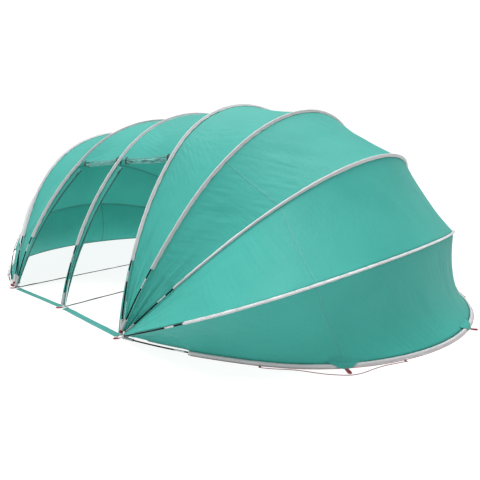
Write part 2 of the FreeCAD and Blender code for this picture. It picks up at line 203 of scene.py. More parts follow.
def add_surroundings():
    world = bpy.data.worlds.new("studio")
    world.use_nodes = True
    nodes = Nodes(world.node_tree)
    back = world.node_tree.nodes["Background"]
    back.inputs["Color"].default_value = (1.0, 1.0, 1.0, 1.0)
    seen = nodes.add("LightPath").outputs["Is Camera Ray"]
    strength = nodes.math("MULTIPLY_ADD", seen, SEEN_WORLD - WORLD, WORLD)
    world.node_tree.links.new(strength, back.inputs["Strength"])
    bpy.context.scene.world = world
    bpy.context.scene.view_settings.view_transform = "Standard"
    for sun in SUNS:
        add_sun(*sun)


def add_floor():
    rings = [np.pad(round_profile(radius, 96), ((0, 0), (0, 1))) for radius in FLOOR_RINGS]
    ring_object("floor", np.array(rings), floor_material())


# ---- smooth uneven values and outlines ----
def ripple(x, seed):
    """Smooth uneven line of about -1 to 1, a wave about one unit of x long."""
    rng = np.random.default_rng(seed)
    total = np.zeros(np.shape(x))
    for k in range(6):
        total = total + np.sin(2 * math.pi * rng.uniform(0.3, 1.5) * np.asarray(x) + rng.uniform(0, 6.28))
    return total / 3.2


def ripple2(x, y, seed):
    """The same over a surface."""
    rng = np.random.default_rng(seed)
    total = np.zeros(np.broadcast(x, y).shape)
    for k in range(8):
        turn, pace = rng.uniform(0, math.pi), rng.uniform(0.4, 1.5)
        wave = x * math.cos(turn) + y * math.sin(turn)
        total = total + np.sin(2 * math.pi * pace * wave + rng.uniform(0, 6.28))
    return total / 3.8


def smooth(x):
    x = np.clip(x, 0, 1)
    return x * x * (3 - 2 * x)


def squared(wave, power):
    """A sine or cosine with its rounds made squarer by a power under 1."""
    return np.sign(wave) * np.abs(wave) ** power


def turns(count):
    """Angles once round."""
    return np.linspace(0, 2 * math.pi, count, endpoint=False)


def round_profile(radius, count):
    return radius * np.stack([np.cos(turns(count)), np.sin(turns(count))], axis=1)


def unit(vectors):
    return vectors / np.linalg.norm(vectors, axis=-1, keepdims=True)


# ---- meshes from grids of points ----
def arc_steps(points):
    """Distance along a row of points, from its first."""
    steps = np.linalg.norm(np.diff(points, axis=0), axis=1)
    return np.concatenate([[0.0], np.cumsum(steps)])


def metre_uv(grid):
    """UV of a grid in metres: along the rows by the middle column, across by the middle row."""
    along = arc_steps(grid[:, grid.shape[1] // 2])
    across = arc_steps(grid[grid.shape[0] // 2])
    return np.stack(np.meshgrid(along, across, indexing="ij"), axis=-1)


def with_first(grid):
    """The grid with its first column repeated after its last."""
    return np.concatenate([grid, grid[:, :1]], axis=1)


def faces_of(rows, columns, wrap):
    """Quads of a grid, and for each the grid places of its corners, with the wrapped column kept apart."""
    i, j = np.meshgrid(np.arange(rows - 1), np.arange(columns if wrap else columns - 1), indexing="ij")
    i, j = i.ravel(), j.ravel()
    corners_i = np.stack([i, i + 1, i + 1, i], axis=1)
    corners_j = np.stack([j, j, j + 1, j + 1], axis=1)
    return corners_i * columns + corners_j % columns, corners_i, corners_j


def build_mesh(name, vertices, faces, face_uv, material):
    mesh = bpy.data.meshes.new(name)
    mesh.from_pydata(vertices.tolist(), [], faces)
    layer = mesh.uv_layers.new(name="UVMap")
    layer.data.foreach_set("uv", np.asarray(face_uv, np.float32).ravel())
    mesh.polygons.foreach_set("use_smooth", np.ones(len(mesh.polygons), bool))
    mesh.materials.append(material)
    mesh.validate()
    mesh.update()
    return placed(name, mesh)


def ring_object(name, grid, material):
    """Surface through closed rings of points, open at its first and last."""
    faces, corners_i, corners_j = faces_of(*grid.shape[:2], True)
    uv = metre_uv(with_first(grid))
    return build_mesh(name, grid.reshape(-1, 3), faces.tolist(), uv[corners_i, corners_j], material)


def capped_object(name, grid, uv, material):
    """Closed solid through closed outlines, with flat ends."""
    rows, columns = grid.shape[:2]
    faces, corners_i, corners_j = faces_of(rows, columns, True)
    near, far = np.arange(columns)[::-1], np.arange(columns)
    face_list = faces.tolist() + [near.tolist(), ((rows - 1) * columns + far).tolist()]
    face_uv = np.concatenate([uv[corners_i, corners_j].reshape(-1, 2), uv[0, near], uv[-1, far]])
    return build_mesh(name, grid.reshape(-1, 3), face_list, face_uv, material)


def swept_object(name, centres, sides, ups, profiles, material):
    """Closed tube: in each row the profile's pairs are laid off along that row's side and up."""
    sides, ups = (np.broadcast_to(axis, centres.shape)[:, None] for axis in (sides, ups))
    grid = centres[:, None] + sides * profiles[..., :1] + ups * profiles[..., 1:]
    return capped_object(name, grid, metre_uv(with_first(grid)), material)


def solid_stack(name, grid, material):
    """Closed solid through stacked outlines."""
    uv = np.stack([grid[..., 0] + grid[..., 1], grid[..., 2]], axis=-1)
    return capped_object(name, grid, with_first(uv), material)


def grid_normals(grid):
    normal = np.cross(np.gradient(grid, axis=0), np.gradient(grid, axis=1))
    return normal / np.maximum(np.linalg.norm(normal, axis=2, keepdims=True), 1e-9)


def shell_object(name, grid, material, thickness=CLOTH):
    """Closed cloth: the grid and its copy a thickness away, joined round the edge."""
    rows, columns = grid.shape[:2]
    uv = metre_uv(grid)
    faces, corners_i, corners_j = faces_of(rows, columns, False)
    count = rows * columns
    face_uv = uv[corners_i, corners_j]
    border = [(i, 0) for i in range(rows)] + [(rows - 1, j) for j in range(1, columns)]
    border += [(i, columns - 1) for i in range(rows - 2, -1, -1)] + [(0, j) for j in range(columns - 2, 0, -1)]
    rim, rim_uv = [], []
    for (i, j), (k, m) in zip(border, border[1:] + border[:1]):
        first, second = i * columns + j, k * columns + m
        rim.append([second, first, first + count, second + count])
        rim_uv.append([uv[k, m], uv[i, j], uv[i, j], uv[k, m]])
    all_faces = np.concatenate([faces, faces[:, ::-1] + count, np.array(rim)])
    all_uv = np.concatenate([face_uv, face_uv[:, ::-1], np.array(rim_uv)])
    other = grid + grid_normals(grid) * thickness
    vertices = np.concatenate([grid.reshape(-1, 3), other.reshape(-1, 3)])
    return build_mesh(name, vertices, all_faces.tolist(), all_uv, material)


def joined(name, objects):
    """Several meshes as one object, with each one's material kept."""
    with bpy.context.temp_override(active_object=objects[0], selected_editable_objects=objects):
        bpy.ops.object.join()
    objects[0].name = name
    return objects[0]


# ---- arches ----
class Arch:
    """Centre line of one pole, from the back foot over the crown to the front foot."""

    def __init__(self, body, hub_x, side, tilt, half, height, shape, sleeve_start=SLEEVE_START,
                 door_top=MAIN_DOOR_TOP):
        self.body, self.sleeve_start, self.door_top = body, sleeve_start, door_top
        self.hub = np.array([hub_x, 0, HUB_Z])
        sine, cosine = math.sin(math.radians(tilt)), math.cos(math.radians(tilt))
        self.up = np.array([side * sine, 0, cosine])
        self.outward = np.array([side * cosine, 0, -sine])
        foot, leg_end, shoulder_end = (math.radians(angle) for angle in shape[:3])
        shoulder_r = shape[3]
        leg_r, crown_r = self.solve_radii(half, height, foot, leg_end, shoulder_end, shoulder_r)
        leg = (half - leg_r * math.cos(foot), -leg_r * math.sin(foot), leg_r)
        shoulder = self.next_centre(leg, leg_end, shoulder_r)
        crown = self.next_centre(shoulder, shoulder_end, crown_r)
        circles = (leg, shoulder, crown, self.mirrored(shoulder), self.mirrored(leg))
        self.u, self.v, self.r = np.array(circles).T
        self.stops = np.array([foot, leg_end, shoulder_end,
                               math.pi - shoulder_end, math.pi - leg_end, math.pi - foot])
        self.lengths = np.concatenate([[0.0], np.cumsum(self.r * np.diff(self.stops))])
        self.length = self.lengths[-1]
        self.foot = foot

    @staticmethod
    def solve_radii(half, height, foot, leg_end, shoulder_end, shoulder_r):
        """Leg and crown radii that make the half arch span half and height."""
        a, b = math.cos(foot) - math.cos(leg_end), math.cos(shoulder_end)
        c, d = math.sin(leg_end) - math.sin(foot), 1 - math.sin(shoulder_end)
        across = half - shoulder_r * (math.cos(leg_end) - math.cos(shoulder_end))
        rise = height - shoulder_r * (math.sin(shoulder_end) - math.sin(leg_end))
        scale = a * d - b * c
        return (across * d - b * rise) / scale, (a * rise - across * c) / scale

    @staticmethod
    def next_centre(circle, angle, radius):
        u, v, r = circle
        return u + (r - radius) * math.cos(angle), v + (r - radius) * math.sin(angle), radius

    @staticmethod
    def mirrored(circle):
        return -circle[0], circle[1], circle[2]

    def at(self, angle, inset=0.0, out=0.0):
        """Points at angles round the arch, inset towards its middle and out along its axis."""
        angle = np.atleast_1d(angle)
        index = np.clip(np.searchsorted(self.stops, angle - 1e-9) - 1, 0, 4)
        radius = self.r[index] - inset
        u = self.u[index] + radius * np.cos(angle)
        v = self.v[index] + radius * np.sin(angle)
        out = np.broadcast_to(out, angle.shape)
        flat = np.stack([0 * u, u, 0 * u], axis=1)
        return self.hub + flat + v[:, None] * self.up + out[:, None] * self.outward

    def radial(self, angle):
        angle = np.atleast_1d(angle)
        return np.cos(angle)[:, None] * np.array([0, 1, 0]) + np.sin(angle)[:, None] * self.up

    def tangent(self, angle):
        angle = np.atleast_1d(angle)
        return -np.sin(angle)[:, None] * np.array([0, 1, 0]) + np.cos(angle)[:, None] * self.up

    def length_at(self, angle):
        return np.interp(angle, self.stops, self.lengths)

    def angle_at(self, length):
        return np.interp(length, self.lengths, self.stops)

    def foot_distance(self, angle):
        length = self.length_at(angle)
        return np.minimum(length, self.length - length)

    def door_top_angle(self, drop=0.0):
        """Angle round the front half at the door's top, or a drop below it."""
        height = self.door_top - drop
        angles = np.linspace(math.pi / 2, self.stops[-1], 800)
        heights = (self.at(angles) - self.hub) @ self.up
        return float(np.interp(-height, -heights, angles))


def make_arches():
    arches = {"mid": Arch("tunnel", 0.0, 1, MID_LEAN, MID_HALF_DEPTH, MID_HEIGHT, MID_SHAPE,
                          door_top=MID_DOOR_TOP)}
    for name, side in SIDES.items():
        fan = [Arch("tunnel", side * HUB_X, side, MAIN_LEAN[name], HALF_DEPTH, MAIN_HEIGHT, MAIN_SHAPE)]
        rows = zip(FAN_TILT, FAN_NEST, FAN_HEIGHT, FAN_SHAPES[name], FAN_SLEEVE_START)
        for number, (tilt, nest, height, shape, sleeve_start) in enumerate(rows, 1):
            body = name + ("_ring" if number == 4 else "_fan_" + str(number))
            fan.append(Arch(body, side * HUB_X, side, tilt, HALF_DEPTH + nest, height, shape, sleeve_start))
        arches[name] = fan
    return arches


# ---- materials ----
class Nodes:
    """Adds shader nodes to a tree."""

    def __init__(self, tree):
        self.tree = tree

    def add(self, kind, inputs=(), **settings):
        """New node; each input gets a value, or a link from another node's output."""
        node = self.tree.nodes.new("ShaderNode" + kind)
        for name, value in settings.items():
            setattr(node, name, value)
        for socket, value in dict(inputs).items():
            if isinstance(value, bpy.types.NodeSocket):
                self.tree.links.new(value, node.inputs[socket])
            else:
                node.inputs[socket].default_value = value
        return node

    def math(self, operation, *values):
        return self.add("Math", enumerate(values), operation=operation).outputs[0]


class Surface(Nodes):
    """One material, with the object and UV coordinates that its textures use."""

    def __init__(self, name):
        self.material = bpy.data.materials.new(name)
        self.material.use_nodes = True
        super().__init__(self.material.node_tree)
        self.tree.nodes.clear()
        place = self.add("TexCoord")
        self.object, self.uv = place.outputs["Object"], place.outputs["UV"]

    def mix(self, share, first, second):
        return self.add("Mix", {0: share, 6: first + (1.0,), 7: second + (1.0,)}, data_type="RGBA").outputs[2]

    def stretched(self, scale, turn=0.0):
        mapping = {"Vector": self.uv, "Rotation": (0.0, 0.0, turn), "Scale": scale + (1.0,)}
        return self.add("Mapping", mapping).outputs["Vector"]

    def noise(self, place, scale, detail, low=0.35, high=0.65):
        """Noise with its values from low to high stretched over 0 to 1."""
        noise = self.add("TexNoise", {"Vector": place, "Scale": scale, "Detail": detail})
        spread = self.add("MapRange", {"Value": noise.outputs["Fac"], "From Min": low, "From Max": high})
        return spread.outputs["Result"]

    def weave(self, pitch, slope=0.0):
        """Plain weave: threads of the pitch in metres, over and under each other."""
        along, across = self.add("SeparateXYZ", {0: self.uv}).outputs[:2]
        if slope:
            along = self.math("MULTIPLY_ADD", across, slope, along)
        waves = [self.math("SINE", self.math("MULTIPLY", axis, 2 * math.pi / pitch)) for axis in (along, across)]
        return self.math("MULTIPLY_ADD", self.math("MULTIPLY", *waves), 0.5, 0.5)

    def bump(self, height, distance, strength, normal=None):
        inputs = {"Height": height, "Distance": distance, "Strength": strength}
        if normal is not None:
            inputs["Normal"] = normal
        return self.add("Bump", inputs).outputs["Normal"]

    def finish(self, inputs, through=0.0):
        """Ends the material in a principled surface that lets a share of the light through."""
        result = self.add("BsdfPrincipled", inputs).outputs[0]
        if through:
            back = self.add("BsdfTranslucent", {"Color": inputs["Base Color"], "Normal": inputs["Normal"]})
            result = self.add("MixShader", {0: through, 1: result, 2: back.outputs[0]}).outputs[0]
        self.add("OutputMaterial", {"Surface": result})
        return self.material


def cloth_material(name, colour, shade, through=0.0, pitch=WEAVE_PITCH, roughness=0.62, sheen=0.15, wrinkle=0.0):
    """Woven cloth: colour drifts towards shade, weave and wrinkles are bumped, and some light comes through."""
    make = Surface(name)
    mottle, weave = make.noise(make.object, 60.0, 4.0), make.weave(pitch)
    share = make.math("MULTIPLY", make.noise(make.object, 1.7, 2.0), 0.6)
    share = make.math("MULTIPLY_ADD", mottle, 0.18, share)
    share = make.math("MULTIPLY_ADD", weave, 0.16, share)
    normal = make.bump(weave, WEAVE_DEPTH, 0.8)
    normal = make.bump(make.noise(make.uv, 26.0, 5.0, 0.3, 0.7), 0.0006, 0.5, normal)
    if wrinkle:
        lines = make.noise(make.stretched((26.0, 4.5), 0.5), 1.0, 2.0, 0.42, 0.68)
        patch = make.noise(make.object, 1.5, 2.0, 0.44, 0.60)
        normal = make.bump(make.math("MULTIPLY", lines, patch), wrinkle, 1.0, normal)
    return make.finish({
        "Base Color": make.mix(share, colour, shade),
        "Roughness": make.math("MULTIPLY_ADD", mottle, 0.12, roughness - 0.06),
        "Normal": normal, "Sheen Weight": sheen, "Sheen Roughness": 0.45, "Specular IOR Level": 0.35,
    }, through)


def rolled_material(colour, shade):
    """Canopy cloth rolled up: painted shade gathers in its lengthwise creases."""
    make = Surface("teal_rolled")
    creases = make.noise(make.stretched((9.0, 75.0)), 1.0, 3.0, 0.46, 0.60)
    return make.finish({
        # painted shade: the crease noise darkens the colour towards the near-black shade colour
        "Base Color": make.mix(creases, colour, shade),
        "Roughness": make.math("MULTIPLY_ADD", creases, 0.15, 0.55),
        "Normal": make.bump(make.weave(WEAVE_PITCH), WEAVE_DEPTH, 0.8, make.bump(creases, 0.003, 0.7)),
        "Sheen Weight": 0.3, "Specular IOR Level": 0.3,
    })


def webbing_material(name, colour, shade, pitch=0.0022):
    """Ribbed woven tape."""
    make = Surface(name)
    ribs, worn = make.weave(pitch, 0.5), make.noise(make.object, 90.0, 4.0)
    share = make.math("MULTIPLY_ADD", worn, 0.3, make.math("MULTIPLY", ribs, 0.6))
    return make.finish({
        "Base Color": make.mix(share, shade, colour),
        "Roughness": make.math("MULTIPLY_ADD", worn, 0.15, 0.62),
        "Normal": make.bump(ribs, 0.0003, 0.9), "Sheen Weight": 0.25, "Specular IOR Level": 0.3,
    })


def pole_material():
    """Black glass fibre with fine flecks and scuffs."""
    make = Surface("black_fibreglass")
    scuff = make.noise(make.object, 38.0, 5.0, 0.45, 0.75)
    return make.finish({
        "Base Color": make.mix(scuff, (0.004, 0.004, 0.005), (0.014, 0.014, 0.015)),
        "Roughness": make.math("MULTIPLY_ADD", scuff, 0.2, 0.42),
        "Normal": make.bump(make.noise(make.object, 420.0, 2.0), 0.00008, 0.6), "Specular IOR Level": 0.06,
    })


def metal_material(name, colour, shade, roughness):
    """Brushed or plated metal with fine wear."""
    make = Surface(name)
    wear = make.noise(make.object, 55.0, 5.0)
    return make.finish({
        "Base Color": make.mix(wear, colour, shade),
        "Roughness": make.math("MULTIPLY_ADD", wear, 0.2, roughness),
        "Normal": make.bump(make.noise(make.object, 900.0, 2.0), 0.00005, 0.5), "Metallic": 0.85,
    })


def floor_material():
    """Grey studio paper that glows: it looks white, but throws little light back at the tent."""
    make = Surface("studio_floor")
    return make.finish({
        "Base Color": make.mix(make.noise(make.object, 4.0, 3.0), (0.20, 0.20, 0.20), (0.22, 0.22, 0.22)),
        "Roughness": 0.9, "Specular IOR Level": 0.1,
        "Emission Color": (1.0, 1.0, 1.0, 1.0), "Emission Strength": FLOOR_GLOW,
    })


MATERIALS = {
    "fibreglass": pole_material(),
    "ferrule": metal_material("steel_ferrule", (0.60, 0.61, 0.62), (0.42, 0.43, 0.44), 0.32),
    "sleeve_fabric": cloth_material("grey_sleeve", (0.60, 0.60, 0.61), (0.50, 0.50, 0.51), 0.0, 0.0014, 0.7, 0.2),
    "canopy_fabric": cloth_material("teal_canopy", (0.080, 0.53, 0.465), (0.060, 0.47, 0.41), 0.38, sheen=0.10,
                                    wrinkle=0.0020),
    "canopy_trim": cloth_material("teal_trim", (0.045, 0.28, 0.25), (0.035, 0.23, 0.20), 0.0, 0.0013),
    "zip_tape": webbing_material("teal_zip_tape", (0.020, 0.16, 0.14), (0.010, 0.085, 0.075), 0.0016),
    "black_webbing": webbing_material("black_tape", (0.022, 0.022, 0.024), (0.009, 0.009, 0.010)),
    "red_webbing": webbing_material("red_tape", (0.36, 0.008, 0.032), (0.16, 0.004, 0.015)),
    "cord": webbing_material("red_cord", (0.30, 0.012, 0.030), (0.10, 0.005, 0.010), 0.0016),
    "zip_metal": metal_material("dark_zip_metal", (0.16, 0.16, 0.17), (0.07, 0.07, 0.08), 0.3),
}
# Painted shade: the rolled door is coloured darker than the canopy, and its second colour is the near-black shade
# painted into its creases.
ROLLED = rolled_material((0.060, 0.38, 0.335), (0.012, 0.085, 0.078))
SEAM = cloth_material("teal_seam", (0.052, 0.355, 0.315), (0.042, 0.30, 0.262))
STITCH = webbing_material("stitching", (0.62, 0.63, 0.62), (0.45, 0.46, 0.45), 0.0012)


def finish_piece(piece, body, slot, *nodes):
    """Rides on a body and stands for CAD nodes; its slot is not used."""
    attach(piece, body)
    if nodes:
        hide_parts(*nodes)
    return piece


# ---- cords ----
def ground_cord(side_name, end_name, x_sign, y_sign):
    curve = bpy.data.curves.new(side_name + "_" + end_name + "_ground_cord", "CURVE")
    curve.dimensions = "3D"
    curve.bevel_depth = CORD_D / 2
    curve.bevel_resolution = 3
    curve.resolution_u = 10
    curve.use_fill_caps = True
    spline = curve.splines.new("NURBS")
    spline.points.add(len(CORD_ROUTE) - 1)
    for point, (x, y) in zip(spline.points, CORD_ROUTE):
        point.co = (x_sign * x, y_sign * y, CORD_Z, 1.0)
    spline.order_u = 3
    spline.use_endpoint_u = True
    curve.materials.append(MATERIALS["cord"])
    piece = bpy.data.objects.new(curve.name, curve)
    bpy.context.scene.collection.objects.link(piece)
    finish_piece(piece, side_name + "_ring", "cord", side_name + "_" + end_name + "_cord")


add_camera()
for side_name, x_sign in SIDES.items():
    ground_cord(side_name, "front", x_sign, 1)
    ground_cord(side_name, "back", x_sign, -1)

ARCHES = make_arches()


# ---- canopy ----
def panel_angles(arch, start, end):
    """Start, the arch's own arc ends in between, and end."""
    inner = [angle for angle in arch.stops if start + 1e-6 < angle < end - 1e-6]
    return np.array([start] + inner + [end])


def free_share(arch, angle):
    """1 near the feet, where the pole stands free of the canopy, and 0 where its sleeve holds it."""
    return 1 - smooth((arch.foot_distance(angle) - arch.sleeve_start + 0.04) / 0.08)


def edge_inset(arch, angle):
    """How far the canopy's edge lies inside a pole."""
    return UNDER_SLEEVE + FREE_EDGE * free_share(arch, angle)


class Panel:
    """Canopy cloth from one arch to the next: its points, its rows' angles round both arches, its outside."""

    def __init__(self, first, second, starts, ends, seed, wall=False):
        self.first, self.second = first, second
        stops_a = panel_angles(first, starts[0], ends[0])
        stops_b = panel_angles(second, starts[1], ends[1])
        share = np.arange(len(stops_a))
        lengths = np.maximum(np.diff(first.length_at(stops_a)), np.diff(second.length_at(stops_b)))
        runs = [np.linspace(k, k + 1, max(3, round(length / ROW_STEP)), endpoint=False)
                for k, length in enumerate(lengths)]
        q = np.concatenate(runs + [[share[-1]]])
        self.a, self.b = np.interp(q, share, stops_a), np.interp(q, share, stops_b)
        edge_a = first.at(self.a, edge_inset(first, self.a))
        lift = RING_LIFT * free_share(second, self.b) if wall else 0.0
        edge_b = second.at(self.b, edge_inset(second, self.b), -lift)
        width = np.linalg.norm(edge_b - edge_a, axis=1)
        s = np.linspace(0, 1, max(9, round(width.max() / GRID_STEP)) + 1)
        flat = edge_a[:, None] * (1 - s)[:, None] + edge_b[:, None] * s[:, None]
        normal = grid_normals(flat)
        middle = np.array([(first.hub[0] + second.hub[0]) / 2 * 0.6, 0.0, 0.3])
        inward = normal * np.sign(((middle - flat) * normal).sum(axis=2, keepdims=True))
        foot = np.minimum(first.foot_distance(self.a), second.foot_distance(self.b))[:, None]
        along = ((first.length_at(self.a) + second.length_at(self.b)) / 2)[:, None]
        depth = panel_relief(s[None], width[:, None], foot, along, seed, wall)
        self.grid = flat + inward * depth[..., None]
        normal = grid_normals(self.grid)
        self.outside = normal * -np.sign((normal * inward).sum(axis=2, keepdims=True))
        self.skin = self.grid + np.maximum((normal * self.outside).sum(axis=2, keepdims=True), 0) * normal * CLOTH

    def row_of(self, angle, second=False):
        angles = self.b if second else self.a
        return float(np.interp(angle, angles, np.arange(len(angles))))

    def sample(self, row, share):
        """Points of the outer face and outward normals, at rows counted from 0 and shares of the way across."""
        row = np.clip(row, 0, len(self.grid) - 1.001)
        column = np.clip(share, 0, 0.9999) * (self.grid.shape[1] - 1)
        i, j = np.floor(row).astype(int), np.floor(column).astype(int)
        x, y = (row - i)[..., None], (column - j)[..., None]
        found = []
        for field in (self.skin, self.outside):
            near = field[i, j] * (1 - y) + field[i, j + 1] * y
            far = field[i + 1, j] * (1 - y) + field[i + 1, j + 1] * y
            found.append(near * (1 - x) + far * x)
        return found


def panel_relief(s, width, foot, along, seed, wall):
    """Inward depth of a panel's cloth over the straight lines between its arches."""
    bow = 4 * s * (1 - s)
    low_bow = 6.75 * s * s * (1 - s)
    depth = width * (WALL_SAG_SHARE * (bow + low_bow) / 2 if wall else SAG_SHARE * bow)
    near = s * width
    far = (1 - s) * width
    edge = np.minimum(near, far)
    fixed = smooth(edge / 0.014)
    # folds that run up from the feet and fan out
    fan = np.exp(-np.maximum(foot - 0.12, 0) / 0.42)
    folds = np.sin(2 * math.pi * (2.5 * s + 0.25 * ripple(along / 0.9, seed)))
    folds = folds + 0.6 * np.sin(2 * math.pi * (4.5 * s + 0.3 * ripple(along / 0.6, seed + 1)))
    folds = folds + 0.5 * np.sin(2 * math.pi * (9.0 * s + 0.3 * ripple(along / 0.5, seed + 15))) * (foot < 0.8)
    depth = depth + 0.0070 * fan * folds * bow * smooth(width / 0.10)
    # puckers along the seams
    for place, number in ((near, 2), (far, 3)):
        wave = np.sin(2 * math.pi * (along / 0.085 + 0.9 * ripple(along / 0.35, seed + number)))
        strong = 0.5 + 0.5 * ripple(along / 0.5, seed + number + 4)
        depth = depth + 0.0016 * np.exp(-place / 0.05) * fixed * wave * np.maximum(strong, 0)
    # long slack creases across the panel, and a soft unevenness
    slant = along + 0.55 * near
    crease = np.maximum(ripple2(slant / 0.34, near / 1.6, seed + 9) - 0.35, 0)
    depth = depth + 0.0065 * crease * bow * smooth(width / 0.3)
    # patches of fine wrinkles that run across the panel
    patch = smooth(0.35 + 0.9 * ripple2(along / 0.9, near / 0.6, seed + 24))
    fine = ripple2(along / 0.050 + 0.5 * near / 0.050, near / 0.30, seed + 20)
    depth = depth + 0.0016 * fine * patch * np.minimum(2 * bow, 1) * smooth(width / 0.2)
    return depth + 0.0035 * ripple2(along / 0.8, near / 0.5, seed + 12) * bow * smooth(width / 0.3)


def turn_share(points, first, second):
    """How far round from the first arch's plane to the second's each point lies, from 0 to 1."""
    hub = first.hub
    side = 1 if second.outward[0] > 0 else -1
    angle = np.arctan2(side * (points[:, 0] - hub[0]), points[:, 2] - hub[2])
    low = math.atan2(side * first.up[0], first.up[2])
    high = math.atan2(side * second.up[0], second.up[2])
    return np.clip((angle - low) / (high - low), 0, 1)


def blend_between(piece, first, second):
    """Rides on the arches' body when both share one; otherwise bakes the piece's transform and works out each
    point's share of the turn between the arches, without using it.
    """
    if first.body == second.body:
        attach(piece, first.body)
        return
    tuple(first.at(1.57)[0])
    tuple(second.at(1.57)[0])
    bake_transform(piece)
    count = len(piece.data.vertices)
    points = np.zeros(count * 3, np.float32)
    piece.data.vertices.foreach_get("co", points)
    share = turn_share(points.reshape(-1, 3), first, second)


def flat_area(grid):
    sides = np.cross(grid[1:, :-1] - grid[:-1, :-1], grid[:-1, 1:] - grid[:-1, :-1])
    return float(np.linalg.norm(sides, axis=2).sum())


def stretched_sheet(grid):
    """Works out how the piece was cut flat, its greatest width and length and its area, without keeping them."""
    width = max(arc_steps(row)[-1] for row in grid)
    length = max(arc_steps(grid[:, column])[-1] for column in range(grid.shape[1]))
    round(flat_area(grid), 3)


def canopy(label, first, second, seed, ends=None, wall=False):
    """Canopy cloth between two arches, from the ground at the back to the ground or the ends in front."""
    starts = [float(arch.angle_at(PANEL_START)) for arch in (first, second)]
    panel = Panel(first, second, starts, ends or [math.pi - angle for angle in starts], seed, wall)
    piece = shell_object(label + "_canopy", panel.grid, MATERIALS["canopy_fabric"])
    blend_between(piece, first, second)
    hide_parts(label + "_panel")
    stretched_sheet(panel.grid)
    return panel


# ---- sleeves and pockets ----
SLEEVE_PROFILE = np.array([
    (-0.0170, -0.0128), (-0.0125, -0.0098), (-0.0096, -0.0030), (-0.0080, 0.0036), (-0.0045, 0.0082),
    (0.0, 0.0096), (0.0045, 0.0082), (0.0080, 0.0036), (0.0096, -0.0030), (0.0125, -0.0098),
    (0.0170, -0.0128), (0.0166, -0.0142), (0.0090, -0.0136), (0.0, -0.0140), (-0.0090, -0.0136),
    (-0.0166, -0.0142),
])
NARROW_PROFILE = SLEEVE_PROFILE * (0.60, 1.0)
# The ring lies down: its first numbers run downwards and its second outwards along the ground.
RING_PROFILE = np.array([
    (-0.0098, -0.0060), (-0.0100, -0.0010), (-0.0090, 0.0040), (-0.0060, 0.0076), (-0.0010, 0.0088),
    (0.0050, 0.0092), (0.0100, 0.0104), (0.0128, 0.0140), (0.0134, 0.0165), (0.0146, 0.0165),
    (0.0146, 0.0100), (0.0140, 0.0030), (0.0120, -0.0040), (0.0060, -0.0092), (-0.0020, -0.0104),
    (-0.0075, -0.0090),
])


def sleeve(arch, label, profile, seed):
    """Cloth sleeve along an arch: a tube with two sewn edges, slightly gathered, open at both mouths."""
    first, last = arch.sleeve_start, arch.length - arch.sleeve_start
    lengths = np.append(np.arange(first, last, SLEEVE_STEP), last)
    x = lengths[:, None]
    gather = 0.07 * ripple2(x / 0.05, np.arange(len(profile)) * 0.35, seed) + 0.06 * ripple(x / 0.16, seed + 1)
    rows = profile * (1 + gather)[..., None]
    rows[..., 1] -= 0.0012 * ripple(x / 0.12, seed + 2) * (np.abs(profile[:, 0]) > 0.012)
    if profile is RING_PROFILE:
        rows[..., 0] = np.minimum(rows[..., 0], RING_SLEEVE_LOW)
    for index, scale in ((0, 0.9), (1, 0.97)):
        rows[index] *= scale
        rows[-1 - index] *= scale
    # the cloth turns in at each mouth
    rows = np.concatenate([rows[:1] * 0.666, rows[:1] * 0.74, rows, rows[-1:] * 0.74, rows[-1:] * 0.66])
    angles = arch.angle_at(np.concatenate([[first + 0.012, first], lengths, [last, last - 0.012]]))
    piece = swept_object(label + "_cloth_sleeve", arch.at(angles), arch.outward, arch.radial(angles), rows,
                         MATERIALS["sleeve_fabric"])
    finish_piece(piece, arch.body, "sleeve_fabric", label + "_sleeve")


def foot_tube(name, arch, front, lengths, radius, narrow, broad, slot):
    """Tube round a pole's foot: narrower outwards, and broader towards the arch's middle."""
    angles = arch.angle_at(arch.length - lengths if front else lengths)
    sine, cosine = np.sin(turns(FOOT_SIDES)), np.cos(turns(FOOT_SIDES))
    rows = np.stack([narrow * radius * cosine, radius * sine * (1 + broad * sine ** 2)], axis=-1)
    if arch.body.endswith("ring"):
        rows[..., 0] = np.minimum(rows[..., 0], HUB_Z - 0.0012)
    return swept_object(name, arch.at(angles), arch.outward, arch.radial(angles), rows, MATERIALS[slot])


def foot_pocket(arch, front, start, end):
    """Cloth pocket round a pole's foot, wider at the ground and puckered at its mouth."""
    share = np.linspace(0, 1, 12)[:, None]
    turn = turns(FOOT_SIDES)
    radius = 0.0112 - 0.0012 * smooth(share * 1.6) + 0.0010 * smooth((share - 0.9) / 0.1)
    pleat = 1 + 0.05 * np.sin(5 * turn) * (0.4 + share) + 0.04 * np.sin(9 * turn + 4 * share)
    lengths = start + (end - start) * share[:, 0]
    return foot_tube("pocket", arch, front, lengths, radius * pleat, 0.82, 0.5, "sleeve_fabric")


def foot_cuff(arch, front):
    """Red webbing wound round the bottom of a foot pocket, in two turns with rounded edges."""
    low, high = CUFF_ENDS
    lengths = np.linspace(low, high, 14)
    bulge = 0.0104 + 0.0022 * np.abs(np.sin((lengths - low) / (high - low) * 2 * math.pi)) ** 0.5
    return foot_tube("cuff", arch, front, lengths, bulge[:, None], 0.80, 0.35, "red_webbing")


def add_feet(name, label, arch, cuffed):
    """Foot pockets and red cuffs of one arch, each riding on the arch's body with a mesh of its own."""
    for end, front in (("back", False), ("front", True)):
        low, high = (HIGH_POCKET if cuffed else LOW_POCKET)
        pieces = [("pocket", foot_pocket(arch, front, low, high), "sleeve_fabric", 0.100)]
        if cuffed and not arch.body.endswith("ring"):
            pieces.append(("cuff", foot_cuff(arch, front), "red_webbing", sum(CUFF_ENDS) / 2))
        for kind, piece, slot, height in pieces:
            angle = arch.angle_at(arch.length - height if front else height)
            piece.name = "_".join((label, end, kind))
            finish_piece(piece, arch.body, slot)
            tuple(arch.radial(angle)[0])
            tuple(arch.at(angle)[0])
            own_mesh(piece)


